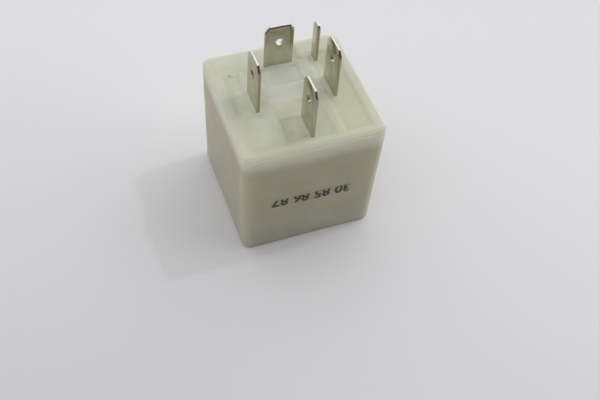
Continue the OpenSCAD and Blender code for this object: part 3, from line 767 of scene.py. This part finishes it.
def printInk():
    finish = Finish("printInk")
    wear = finish.noise(2.2, 4, 0.6)
    colour = finish.mix(finish.ramp(wear, 0.55, 0.78), tone(76, 73, 62), tone(124, 120, 102))
    return finish.set(colour=colour, roughness=finish.ramp(wear, 0.3, 0.7, 0.45, 0.7),
                      normal=finish.bump(wear, 0.01 * mm, 0.4), specular=0.3)


def makePrint(form):
    clearSelection()
    bpy.ops.object.text_add(location=(0, 0, 0))
    words = bpy.context.object
    words.name = "printedNumbers"
    words.data.body = form["words"]
    words.data.size = form["size"]
    words.data.align_x = "CENTER"
    words.data.align_y = "CENTER"
    words.data.offset = form["bold"]
    words.data.extrude = form["thick"]
    words.data.resolution_u = 6
    bpy.ops.object.convert(target="MESH")
    words = bpy.context.object
    x, z = form["middle"]
    lean = math.atan2(coverForm["draft"], coverForm["height"])
    turn = (Matrix.Rotation(math.radians(form["slope"]), 4, "Y") @ Matrix.Rotation(-lean, 4, "X")
            @ Matrix(((-1, 0, 0, 0), (0, 0, -1, 0), (0, -1, 0, 0), (0, 0, 0, 1))))
    words.data.transform(Matrix.Translation((x, -halfAt(z), z)) @ turn)
    return words


printedNumbers = makePrint(printForm)
setMaterial(printedNumbers, printInk())
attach(printedNumbers, "housing")
print("numbers printed")


# Contact spring, which in the relay bends between the yoke and the armature; here it is one fixed shape


def springBronze():
    finish = Finish("springBronze")
    cloud = finish.noise(0.5, 4, 0.6)
    rolled = finish.noise(1, 3, 0.6, (8, 0.4, 0.4))
    colour = finish.mix(finish.ramp(cloud, 0.3, 0.7), tone(190, 140, 96), tone(205, 164, 122))
    colour = finish.mix(finish.ramp(rolled, 0.5, 0.8, 0, 0.3), colour, tone(150, 100, 66))
    return finish.set(colour=colour, metallic=1.0, roughness=finish.ramp(rolled, 0.3, 0.8, 0.24, 0.4),
                      normal=finish.bump(rolled, 0.008 * mm, 0.5))


contactSpring = copyOfNode("contact_spring", "contactSpring")
applyModifier(contactSpring, "TRIANGULATE")
smoothPiece(contactSpring, 30)
setMaterial(contactSpring, springBronze())
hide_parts("contact_spring")
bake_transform(contactSpring)
print("spring made")


# Finishes of the pieces inside

insideLooks = {
    "yoke": {"colours": ((150, 152, 150), (178, 180, 176)), "metallic": 1.0, "roughness": (0.28, 0.45),
             "grain": (1.2, (1, 1, 6), 0.02)},
    "core": {"colours": ((136, 136, 134), (166, 166, 162)), "metallic": 1.0, "roughness": (0.3, 0.5),
             "grain": (1.6, (1, 1, 9), 0.02)},
    "armature": {"colours": ((146, 148, 147), (176, 178, 175)), "metallic": 1.0, "roughness": (0.28, 0.45),
                 "grain": (1.2, (7, 1, 1), 0.02)},
    "armature_rivets": {"colours": ((168, 166, 158), (196, 194, 186)), "metallic": 1.0,
                        "roughness": (0.3, 0.5), "grain": (3, (1, 1, 1), 0.015)},
    "yoke_rivets": {"colours": ((168, 166, 158), (196, 194, 186)), "metallic": 1.0,
                    "roughness": (0.3, 0.5), "grain": (3, (1, 1, 1), 0.015)},
    "bobbin": {"colours": ((38, 40, 42), (52, 53, 54)), "metallic": 0.0, "roughness": (0.4, 0.6),
               "grain": (7, (1, 1, 1), 0.015)},
    "coil_leads": {"colours": ((150, 78, 40), (184, 104, 58)), "metallic": 0.9, "roughness": (0.22, 0.4),
                   "grain": (2, (1, 1, 1), 0.005)},
    "resistor_leads": {"colours": ((176, 176, 172), (204, 204, 198)), "metallic": 1.0,
                       "roughness": (0.25, 0.42), "grain": (4, (1, 1, 1), 0.008)},
    "moving_contact": {"colours": ((196, 194, 188), (226, 224, 218)), "metallic": 1.0,
                       "roughness": (0.2, 0.4), "grain": (3, (1, 1, 1), 0.012)},
    "no_contact": {"colours": ((196, 194, 188), (226, 224, 218)), "metallic": 1.0,
                   "roughness": (0.2, 0.4), "grain": (3, (1, 1, 1), 0.012)},
    "nc_contact": {"colours": ((196, 194, 188), (226, 224, 218)), "metallic": 1.0,
                   "roughness": (0.2, 0.4), "grain": (3, (1, 1, 1), 0.012)},
}


def plainFinish(name, look):
    finish = Finish(name)
    scale, stretch, depth = look["grain"]
    cloud = finish.noise(0.5, 4, 0.6)
    grain = finish.noise(scale, 4, 0.6, stretch)
    dark, light = (tone(*colour) for colour in look["colours"])
    colour = finish.mix(finish.ramp(cloud, 0.3, 0.7), dark, light)
    colour = finish.mix(finish.ramp(grain, 0.5, 0.85, 0, 0.35), colour, tuple(0.6 * v for v in dark))
    low, high = look["roughness"]
    return finish.set(colour=colour, metallic=look["metallic"],
                      roughness=finish.ramp(grain, 0.3, 0.75, low, high),
                      normal=finish.bump(grain, depth * mm, 0.6))


def windingCopper():
    # Fine turns of enamelled wire, one above the other
    finish = Finish("windingCopper")
    _, _, z = finish.axes()
    cloud = finish.noise(0.35, 4, 0.6)
    turns = finish.maths("SINE", finish.maths("MULTIPLY", z, 2 * math.pi / 0.22))
    turns = finish.maths("ADD", turns, finish.maths("MULTIPLY", cloud, 1.2))
    colour = finish.mix(finish.ramp(turns, -1, 1.6), tone(104, 50, 26), tone(190, 108, 60))
    colour = finish.mix(finish.ramp(cloud, 0.35, 0.7, 0, 0.4), colour, tone(150, 74, 36))
    return finish.set(colour=colour, metallic=0.85, roughness=finish.ramp(cloud, 0.3, 0.7, 0.24, 0.4),
                      normal=finish.bump(turns, 0.05 * mm, 0.8))


def bandedCeramic():
    # Painted value bands round a pale body
    finish = Finish("bandedCeramic")
    x, _, _ = finish.axes()
    cloud = finish.noise(1.2, 4, 0.6)
    low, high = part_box("resistor_body")
    middle = (low.x + high.x) / 2 / mm
    colour = finish.mix(finish.ramp(cloud, 0.3, 0.7), tone(206, 190, 152), tone(218, 204, 170))
    bands = ((-1.9, (46, 92, 150)), (-0.9, (120, 120, 118)), (0.1, (96, 58, 36)), (1.6, (176, 142, 60)))
    for place, band in bands:
        away = finish.maths("ABSOLUTE", finish.maths("SUBTRACT", x, middle + place))
        colour = finish.mix(finish.ramp(away, 0.3, 0.24), colour, tone(*band))
    return finish.set(colour=colour, roughness=finish.ramp(cloud, 0.3, 0.7, 0.3, 0.5), coat=0.3,
                      normal=finish.bump(cloud, 0.02 * mm, 0.5))


for nodeName, look in insideLooks.items():
    setMaterial(nodes[nodeName], plainFinish(nodeName + "Finish", look))
setMaterial(nodes["coil_winding"], windingCopper())
setMaterial(nodes["resistor_body"], bandedCeramic())
print("pieces inside finished")


# Leave nothing selected at the end

clearSelection()
